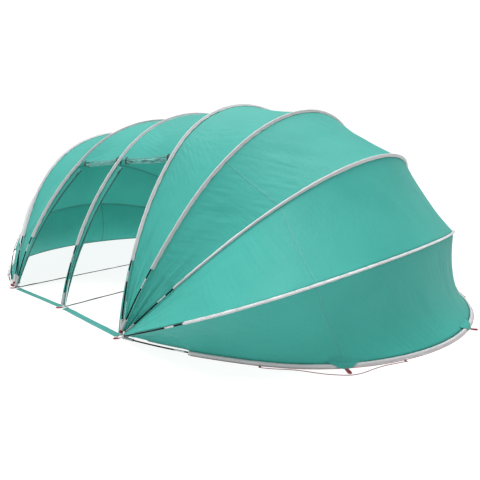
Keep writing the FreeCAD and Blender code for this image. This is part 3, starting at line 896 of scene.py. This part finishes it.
def add_sleeves():
    tunnel = {"mid": ARCHES["mid"], "left_main": ARCHES["left"][0], "right_main": ARCHES["right"][0]}
    for seed, (label, arch) in enumerate(tunnel.items(), 11):
        sleeve(arch, label, SLEEVE_PROFILE, 10 * seed)
    profiles = (SLEEVE_PROFILE, SLEEVE_PROFILE, NARROW_PROFILE, RING_PROFILE)
    for first_seed, name in ((14, "left"), (18, "right")):
        add_feet(name, name + "_main", ARCHES[name][0], False)
        for seed, (arch, profile) in enumerate(zip(ARCHES[name][1:], profiles), first_seed):
            sleeve(arch, arch.body, profile, 10 * seed)
            add_feet(name, arch.body, arch, True)
    fixed = [foot_pocket(ARCHES["mid"], front, *LOW_POCKET) for front in (False, True)]
    finish_piece(joined("mid_foot_pockets", fixed), "tunnel", "sleeve_fabric", "foot_pockets")


# ---- seams, bindings and corner flares ----
def ribbon(name, centres, across, outside, width, material, lift=0.0008, thickness=0.0007, bead=0.0004):
    """Flat strip of cloth along a line, a little raised in the middle."""
    shares = np.array([-1.0, -0.85, -0.35, 0.35, 0.85, 1.0])
    rise = lift + bead * (1 - shares ** 2)
    across, outside = (np.broadcast_to(axis, centres.shape)[:, None] for axis in (unit(across), outside))
    grid = centres[:, None] + across * (shares * width / 2)[:, None] + outside * rise[:, None]
    return shell_object(name, grid, material, thickness)


def panel_seam(panel, angles, name, inner=False):
    """Felled seam across a panel, from an angle round its first arch to one round its second, or its inner tape."""
    share = np.linspace(0.004, 0.996, 70)
    rows = panel.row_of(math.radians(angles[0])), panel.row_of(math.radians(angles[1]), True)
    centres, outside = panel.sample(rows[0] + (rows[1] - rows[0]) * share, share)
    across = np.cross(np.gradient(centres, axis=0), outside)
    if inner:
        piece = ribbon(name, centres - 1.3 * CLOTH * outside, across, -outside, 0.016, MATERIALS["canopy_trim"], 0)
    else:
        piece = ribbon(name, centres, across, outside, 0.013, SEAM)
    blend_between(piece, panel.first, panel.second)


def arch_binding(arch, label):
    """Tape over the seam inside the tent, under each pole."""
    angles = arch.angle_at(np.arange(BINDING_START, arch.length - BINDING_START, 0.04))
    lift = RING_LIFT * free_share(arch, angles) if arch.body.endswith("ring") else 0.0
    centres = arch.at(angles, edge_inset(arch, angles) + 0.0042, -lift)
    piece = ribbon(label + "_binding", centres, arch.outward, -arch.radial(angles), 0.020,
                   MATERIALS["canopy_trim"], 0)
    finish_piece(piece, arch.body, "canopy_trim")


def corner_flare(panel, angle, name):
    """Pulled-out corner of the wall's hem: it leaves the wall, passes over the ring and ends on the ground."""
    ring = panel.second
    spread = np.linspace(-1, 1, 29)
    angles = ring.angle_at(ring.length_at(math.radians(angle)) + FLARE_HALF * spread)
    rows = np.interp(angles, panel.b, np.arange(len(panel.b)))
    reach = 0.16 + 0.84 * (1 - np.abs(spread) ** 1.2)
    columns = []
    for up in np.linspace(0, 1, 6):
        points, outside = panel.sample(rows, FLARE_LOW - (FLARE_LOW - FLARE_TOP) * reach * (1 - up))
        columns.append(points + outside * (0.0050 * up ** 0.7 - 0.0032))
    offset = columns[-1] - ring.at(angles)
    starts = np.stack([offset @ ring.outward, (offset * ring.radial(angles)).sum(axis=1)], axis=1)
    over = np.linspace(0.07, 1, 14)
    paths = []
    for start, part in zip(starts, reach):
        path = np.array([start] + list(FLARE_PATH))
        way = arc_steps(path)
        paths.append([np.interp(part * over * way[-1], way, line) for line in path.T])
    for drop, height in np.array(paths).transpose(2, 1, 0):
        columns.append(ring.at(angles, -height, drop))
    grid = np.stack(columns, axis=1)
    piece = shell_object(name, grid, MATERIALS["canopy_fabric"], TRIM_CLOTH)
    blend_between(piece, panel.first, ring)
    stretched_sheet(grid)


def ring_piping(arch):
    """Thin red cord sewn to the outer edge of the ring's sleeve."""
    lengths = np.arange(arch.sleeve_start + 0.01, arch.length - arch.sleeve_start, 0.03)
    angles = arch.angle_at(lengths)
    centres = arch.at(angles, -0.0176, 0.0128 - 0.0006 * ripple(lengths / 0.2, 8))
    piece = swept_object(arch.body + "_piping", centres, arch.outward, arch.radial(angles),
                         round_profile(0.0017, 8), MATERIALS["cord"])
    finish_piece(piece, arch.body, "cord")


# ---- doors ----
def roll_line(name, side):
    """The door roll's axis: points from the main arch to the middle one, sagging slightly."""
    ends = []
    for arch, gap in ((ARCHES[name][0], -ROLL_SIDE_GAP), (ARCHES["mid"], side * ROLL_SIDE_GAP)):
        ends.append(arch.at(arch.door_top_angle(), FABRIC_INSET + ROLL_DROP, gap)[0])
    share = np.linspace(0, 1, 46)
    line = ends[0] * (1 - share)[:, None] + ends[1] * share[:, None]
    line[:, 2] -= 0.010 * 4 * share * (1 - share) + 0.0025 * ripple(share / 0.3, 61)
    return line


def frames_along(line):
    """Unit vectors to the side and up, at each point of a nearly level line."""
    run = unit(np.gradient(line, axis=0))
    side = unit(np.cross(run, UP))
    return side, np.cross(side, run)


def door_roll(name, side, seed):
    """The door's cloth rolled up: a spiral sheet, tight at its ties and creased between them."""
    line = roll_line(name, side)
    sides, ups = frames_along(line)
    pitch = math.pi * (ROLL_R ** 2 - ROLL_CORE_R ** 2) / DOOR_LENGTH
    turn_count = (ROLL_R - ROLL_CORE_R) / pitch
    angle = np.linspace(0, 2 * math.pi * turn_count, round(20 * turn_count))
    share = np.linspace(0, 1, len(line))[:, None]
    tied = np.exp(-((share - 0.08) / 0.035) ** 2) + np.exp(-((share - 0.92) / 0.035) ** 2)
    swell = 1.02 - 0.22 * tied + 0.07 * ripple(share / 0.22, seed)
    x = arc_steps(line)[:, None]
    crease = 0.07 * np.sin(3 * angle + 9 * ripple(x / 0.16, seed + 1)) * (0.4 + tied)
    crease = crease + 0.05 * np.sin(2 * angle + x / 0.03 + 2 * ripple(x / 0.1, seed + 2))
    size = (ROLL_R - pitch * angle / (2 * math.pi)) * swell * (1 + crease)
    place = angle + 0.8 + 0.55 * ripple(x / 0.3, seed + 3)
    grid = (line[:, None] + sides[:, None] * (size * np.cos(place))[..., None]
            + ups[:, None] * (0.86 * size * np.sin(place))[..., None])
    piece = shell_object(name + "_rolled_door", grid, ROLLED, 0.0005)
    finish_piece(piece, "tunnel", "canopy_fabric", name + "_door_roll")
    return line


def door_tie(line, share, sides, ups):
    """Black strap round the roll that hangs it from the seam above, with a loose tail."""
    low = int(share * (len(line) - 1))
    part = share * (len(line) - 1) - low
    centre = line[low] * (1 - part) + line[low + 1] * part
    run, side, up = unit(line[low + 1] - line[low]), sides[low], ups[low]
    turn = np.linspace(0, 2 * math.pi, 33)
    outward = side * np.cos(turn)[:, None] + up * np.sin(turn)[:, None]
    radius = ROLL_R + 0.003 + 0.018 * np.maximum(np.sin(turn), 0) ** 4
    band = ribbon("tie", centre + outward * radius[:, None], run, outward, 0.020, MATERIALS["black_webbing"],
                  0.0, 0.0022)
    hang = np.linspace(0, 1, 8)[:, None]
    tail = centre - side * (ROLL_R + 0.004) * (1 - 0.3 * hang) + UP * 0.012 - up * 0.052 * hang
    end = ribbon("tail", tail + run * 0.012 * hang ** 2, run, -side, 0.010, MATERIALS["black_webbing"],
                 0.0, 0.0014)
    return [band, end]


def add_rolls():
    straps = []
    for name, side in SIDES.items():
        line = door_roll(name, side, 70 + 5 * side)
        for share in TIE_SHARES:
            straps += door_tie(line, share, *frames_along(line))
    finish_piece(joined("door_tie_straps", straps), "tunnel", "black_webbing", "door_ties")


def header_hem(name, panel):
    """Folded hem along the front edge of a bay's canopy."""
    share = np.linspace(0.0, 1.0, 40)
    last = np.full(40, len(panel.grid) - 1.0)
    centres, outside = panel.sample(last - 0.022 / ROW_STEP, share)
    below = panel.sample(last, share)[0]
    piece = ribbon(name + "_header_hem", (centres + below) / 2, below - centres, outside, 0.026,
                   MATERIALS["canopy_trim"], 0.0006, 0.0008, 0.0012)
    finish_piece(piece, "tunnel", "canopy_trim")


def circle_through(points):
    """Centre and unit axis of the circle through three points."""
    a, b = points[1] - points[0], points[2] - points[0]
    axis = np.cross(a, b)
    centre = points[0] + (np.cross(axis, a) * (b @ b) + np.cross(b, axis) * (a @ a)) / (2 * axis @ axis)
    return centre, unit(axis)


class ZipLine:
    """The circle that a door's zip follows, beside an arch's front leg; into points into the bay."""

    def __init__(self, arch, into):
        self.arch, self.into = arch, into
        self.low = arch.stops[-1] - (arch.angle_at(ZIP_FOOT) - arch.foot)
        self.top = arch.door_top_angle(ZIP_TOP_DROP)
        middle = (self.low + self.top) / 2
        reach, foot_reach = SEAM_GAP + JAMB_WIDTH, SEAM_GAP + JAMB_FOOT_WIDTH
        points = [
            arch.at(self.low, FABRIC_INSET + 0.008, into * foot_reach)[0],
            arch.at(middle, FABRIC_INSET + 0.62 * JAMB_INSET, into * (foot_reach + 0.62 * (reach - foot_reach)))[0],
            arch.at(self.top, FABRIC_INSET + JAMB_INSET, into * reach)[0],
        ]
        self.centre, self.axis = circle_through(points)
        self.start = points[0] - self.centre
        self.sweep = math.acos(self.start @ (points[2] - self.centre) / (self.start @ self.start))

    def point(self, share):
        """Points of the zip and outward directions, from 0 at the foot to 1 at the top."""
        turn = np.atleast_1d(share)[:, None] * self.sweep
        arm = self.start * np.cos(turn) + np.cross(self.axis, self.start) * np.sin(turn)
        return self.centre + arm, unit(arm)


def jamb_grid(zip_line, seed):
    """Cloth strip between an arch's front leg and the zip, with a flap past the zip."""
    share = np.linspace(JAMB_LOW, 1, 70)
    angles = zip_line.low + (zip_line.top - zip_line.low) * share
    near = zip_line.arch.at(angles, edge_inset(zip_line.arch, angles), zip_line.into * 0.004)
    edge, radial = zip_line.point(share)
    flap = 0.011 + 0.011 * np.clip(1 - share[:, None], 0, 1)
    far = edge + unit(edge - near) * flap - radial * 0.0038
    across = np.linspace(0, 1, 9)
    bow = 4 * across * (1 - across)
    wave = (0.0022 * ripple2(share[:, None] / 0.16, across * 0.8, seed) + 0.003) * bow
    return near[:, None] * (1 - across)[:, None] + far[:, None] * across[:, None] - radial[:, None] * wave[..., None]


def zip_parts(zip_line):
    """Tape with a raised double row of coils along it."""
    centres, radial = zip_line.point(np.linspace(0, 1, 70))
    tape = ribbon("tape", centres, zip_line.axis, radial, ZIP_WIDTH, MATERIALS["zip_tape"], -0.0012, 0.001)
    count = round(np.linalg.norm(zip_line.start) * zip_line.sweep / COIL_PITCH)
    centres, radial = zip_line.point(np.linspace(0.002, 0.998, count))
    size = 1 + 0.22 * (np.arange(count) % 2)[:, None, None]
    rows = round_profile(1.0, 8) * (0.0026, 0.0013) * size + (0, 0.0008)
    return [tape, swept_object("coils", centres, zip_line.axis, radial, rows, MATERIALS["black_webbing"])]


def zip_slider(zip_line, name, body):
    """Zip slider: waisted body, bridge, and a flat pull with an eye, lying down the tape."""
    place, radial = zip_line.point(1 - math.radians(1.0) / zip_line.sweep)
    place, out, across = place[0], radial[0], zip_line.axis
    along = np.cross(across, out)
    outline = np.array([(x, w) for x, w in SLIDER_OUTLINE] + [(x, -w) for x, w in reversed(SLIDER_OUTLINE)])
    rows = [place + (outline * scale) @ np.stack([along, across]) + out * height
            for height, scale in ((0.0012, 0.86), (0.0016, 1.0), (0.0026, 1.0), (0.0031, 0.93), (0.0034, 0.7))]
    metal = MATERIALS["zip_metal"]
    body_piece = solid_stack("slider", np.array(rows), metal)
    turn = np.linspace(0, math.pi, 13)[:, None]
    arc = place + along * (-0.002 + 0.006 * np.cos(turn)) + out * (0.0032 + 0.0034 * np.sin(turn))
    ups = np.cross(unit(np.gradient(arc, axis=0)), across)
    bridge = swept_object("bridge", arc, across, ups, round_profile(0.0011, 8), metal)
    pull = pull_tab(place + out * 0.0072 - along * 0.003, -along, across, out)
    finish_piece(joined(name + "_puller", [body_piece, bridge, pull]), body, "zip_metal", name)


def pull_tab(start, along, across, out):
    """Flat pull: a rounded plate with an eye at its near end and a wider grip."""
    sine, cosine = np.sin(turns(28)), np.cos(turns(28))
    x = 0.016 + 0.018 * cosine
    y = (0.0030 + 0.0014 * smooth((x - 0.004) / 0.02)) * squared(sine, 0.55)
    eye, rim = (0.0042 + 0.0022 * cosine, 0.0014 * sine), (x * 0.985 + 0.0002, y * 0.9)
    rings = []
    for (xs, ys), height in ((eye, 0.0), (eye, 0.0012), (rim, 0.0014), ((x, y), 0.0010), ((x, y), 0.0003),
                             (rim, 0.0), (eye, 0.0)):
        rings.append(start + along * xs[:, None] + across * ys[:, None] + out * height)
    return ring_object("pull", np.array(rings), MATERIALS["zip_metal"])


def add_doors():
    tapes = []
    for name, side in SIDES.items():
        for label, arch, into in (("outer", ARCHES[name][0], -1), ("inner", ARCHES["mid"], side)):
            zip_line = ZipLine(arch, into)
            grid = jamb_grid(zip_line, 7 + 3 * side + into)
            door_side = name + "_" + label
            jamb = shell_object(door_side + "_jamb", grid, MATERIALS["canopy_fabric"], TRIM_CLOTH)
            stands_for = ["door_jambs"] if door_side == "left_outer" else []
            finish_piece(jamb, "tunnel", "canopy_trim", *stands_for)
            stretched_sheet(grid)
            tapes += zip_parts(zip_line)
            zip_slider(zip_line, door_side + "_zip_slider", door_side + "_slider")
    finish_piece(joined("door_zip_tapes", tapes), "tunnel", "zip_tape", "door_zips")


# ---- ground bands, loops and pads ----
def ground_band(start, end, width, thickness, wander, seed, slot, fold):
    """Strip that lies on the ground from start to end, a little wavy, with a folded raised edge."""
    start, end = np.array(start), np.array(end)
    length = np.linalg.norm(end - start)
    share = np.linspace(0, 1, max(12, round(length / 0.03)))
    side = np.array([start[1] - end[1], end[0] - start[0], 0]) / length
    held = smooth(share * 8) * smooth((1 - share) * 8)
    line = start + (end - start) * share[:, None]
    line = line + side * (wander * ripple(share * length / 0.7, seed) * held)[:, None]
    x = arc_steps(line)[:, None]
    across = np.linspace(-0.5, 0.5, 9)
    height = 0.0006 + 0.0022 * np.maximum(ripple2(x / 0.3, across * 1.4, seed + 1), 0)
    height = height + fold * np.exp(-((across - 0.42) / 0.1) ** 2) * (0.8 + 0.2 * ripple(x / 0.2, seed + 2))
    grid = line[:, None] + side * (across * width)[:, None] + UP * height[..., None]
    if grid_normals(grid)[..., 2].mean() < 0:
        grid = grid[:, ::-1]
    return shell_object("band", grid, MATERIALS[slot], thickness)


def add_ground_bands():
    bands, straps = [], []
    mid_foot = np.array([0.0, -MID_HALF_DEPTH, 0.0])
    for side in SIDES.values():
        hub = np.array([side * HUB_X, -HALF_DEPTH, 0.0])
        run = unit(hub - mid_foot)
        bands.append(ground_band(mid_foot + run * 0.04, hub - run * 0.045, SILL_WIDTH, 0.0010, 0.0012,
                                 30 + side, "canopy_trim", 0.0060))
    finish_piece(joined("sill_hems", bands), "tunnel", "canopy_trim", "sill_bands")
    for seed, (x, half) in enumerate(FEET, 50):
        straps.append(ground_band((x, 0.045 - half, 0.0), (x, half - 0.045, 0.0), STRAP_WIDTH,
                                  0.0008, 0.0016, seed, "black_webbing", 0.0070))
    finish_piece(joined("ground_straps", straps), "tunnel", "black_webbing", "floor_straps")


def ground_axes(direction):
    """Unit vectors on the ground, along a direction and to its left."""
    along = unit(np.array([direction[0], direction[1], 0.0]))
    return along, np.array([-along[1], along[0], 0.0])


def peg_loop(root, direction, length, seed, rise):
    """Webbing sewn into a flat loop with an eye for a peg, rising a little towards its tip."""
    along, side = ground_axes(direction)
    slot_length, slot_width = LOOP_SLOT
    sine, cosine = np.sin(turns(56)), np.cos(turns(56))
    eye_x = length - 0.012 - slot_length / 2 + slot_length / 2 * squared(cosine, 0.7)
    eye_y = slot_width / 2 * squared(sine, 0.7)
    rim_x = length / 2 * (1 + squared(cosine, 0.45))
    rim_y = LOOP_WIDTH / 2 * squared(sine, 0.6) * (0.72 + 0.28 * smooth(rim_x / length * 1.6))
    rings = []
    for share, height in LOOP_SECTION:
        x, y = eye_x * (1 - share) + rim_x * share, eye_y * (1 - share) + rim_y * share
        lift = height + rise * smooth((x - 0.012) / length) * (0.8 + 0.2 * np.sin(3 * x / length + seed))
        rings.append(root + along * x[:, None] + side * y[:, None] + UP * lift[:, None])
    return ring_object("loop", np.array(rings), MATERIALS["red_webbing"])


def bar_tack(root, direction, x, height):
    """Short row of raised stitches across a webbing."""
    along, side = ground_axes(direction)
    share = np.linspace(-0.5, 0.5, 25)[:, None]
    line = root + along * (x + 0.0012 * np.sign(np.sin(share * 40))) + side * share * 0.020 + UP * height
    return swept_object("tack", line, along, UP, round_profile(0.0006, 6), STITCH)


def webbing_block(centre, direction, length, width, height, seed):
    """Folded stack of webbing, two layers with soft edges."""
    along, side = ground_axes(direction)
    sine, cosine = np.sin(turns(20)), np.cos(turns(20))
    rows = []
    for x in np.linspace(-0.5, 0.5, 9):
        y = width / 2 * (1 - 0.12 * abs(2 * x) ** 6 + 0.02 * math.sin(9 * x + seed)) * squared(cosine, 0.35)
        z = height / 2 * (1 + squared(sine, 0.6)) * (0.92 + 0.08 * math.cos(6 * x + seed)) + 0.0004
        rows.append(centre + along * x * length + side * y[:, None] + UP * z[:, None])
    return solid_stack("block", np.array(rows), MATERIALS["red_webbing"])


def add_foot_loops():
    pieces = []
    for x, half in FEET:
        for sign in (-1, 1):
            root, direction = (x, sign * half, 0.0), (0.0, sign)
            pieces.append(peg_loop(root, direction, LOOP_LENGTH, x + sign, 0.012))
            pieces.append(bar_tack(root, direction, 0.010, 0.0090))
            if x:
                pieces.append(webbing_block((x + math.copysign(0.016, x), sign * (half - 0.008), 0.0034),
                                            (1.0, 0.15 * sign), 0.052, 0.026, 0.007, sign))
    finish_piece(joined("foot_peg_loops", pieces), "tunnel", "red_webbing", "foot_loops")


def add_ring_loops(ring):
    pieces = []
    for seed, (angle, more) in enumerate(((CORNER_ANGLE, 0.016), (90.0, -0.006), (180.0 - CORNER_ANGLE, 0.016))):
        start, further = ring.at(np.radians([angle, angle]), np.array([-SLEEVE_R - 0.001, -0.1]))
        direction, root = (further - start)[:2], (start[0], start[1], 0.0)
        pieces.append(peg_loop(root, direction, LOOP_LENGTH + more, seed, 0.010))
        pieces += [bar_tack(root, direction, 0.012, 0.0092), bar_tack(root, direction, 0.006, 0.0090)]
    for corner in TAB_ANGLES:
        for angle in (corner, 180.0 - corner):
            start, end = ring.at(np.radians([angle, angle]), np.array([-SLEEVE_R - 0.001, -SLEEVE_R - 0.020]))
            middle = (start + end) / 2
            pieces.append(webbing_block((middle[0], middle[1], 0.0), (end - start)[:2], 0.022, 0.016, 0.0036, angle))
    finish_piece(joined(ring.body + "_peg_loops", pieces), ring.body, "red_webbing", ring.body + "_loops")


def add_pads():
    """Grey cloth pads under the feet, where the pockets are sewn on."""
    pads = []
    sine, cosine = np.sin(turns(40)), np.cos(turns(40))
    for x, half in FEET:
        for sign in (-1, 1):
            reach, shift = (0.030, math.copysign(0.012, x)) if x else (0.020, 0.0)
            outline = np.stack([x + shift + reach * squared(cosine, 0.6),
                                sign * (half - 0.028) + 0.026 * squared(sine, 0.6)], axis=1)
            middle = outline.mean(axis=0)
            rows = []
            for scale, height in PAD_SECTION:
                wave = np.maximum(0.0006 * np.sin(5 * turns(40) + x) * scale, -0.0003)
                rows.append(np.column_stack([middle + (outline - middle) * scale, height + wave]))
            pads.append(solid_stack("pad", np.array(rows), MATERIALS["sleeve_fabric"]))
    finish_piece(joined("hub_pads", pads), "tunnel", "sleeve_fabric")


# ---- run ----
PANELS = {}
for side_name, x_sign in SIDES.items():
    fan = ARCHES[side_name]
    roof = canopy(side_name + "_roof", fan[0], ARCHES["mid"],
                  20 + 3 * x_sign, [fan[0].door_top_angle(), ARCHES["mid"].door_top_angle()])
    header_hem(side_name, roof)
    for number in range(1, 5):
        label = fan[number].body
        PANELS[side_name, number] = canopy(label, fan[number - 1], fan[number],
                                           40 * number + 7 * x_sign, wall=number == 4)
    seam = SEAM_ANGLES[side_name]
    for end_name, angles in (("front", seam), ("back", [180.0 - angle for angle in seam])):
        for number in (2, 3, 4):
            panel_seam(PANELS[side_name, number], angles[number - 2:number],
                       side_name + "_" + end_name + "_seam_" + str(number))
    for label, angle in (("back", CORNER_ANGLE), ("end", 90.0), ("front", 180.0 - CORNER_ANGLE)):
        corner_flare(PANELS[side_name, 4], angle, side_name + "_" + label + "_flare")
    for arch in fan:
        arch_binding(arch, side_name + "_main" if arch.body == "tunnel" else arch.body)
    ring_piping(fan[4])
    add_ring_loops(fan[4])
arch_binding(ARCHES["mid"], "mid")
panel_seam(PANELS["left", 4], END_SEAM_ANGLES, "left_end_seam")
panel_seam(PANELS["left", 4], END_SEAM_ANGLES, "left_end_seam_tape", inner=True)
add_sleeves()
add_rolls()
add_doors()
add_ground_bands()
add_foot_loops()
add_pads()

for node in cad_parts.values():
    for socket in node.material_slots:
        socket.material = MATERIALS[socket.material.name.split(".")[0]]

add_surroundings()
add_floor()
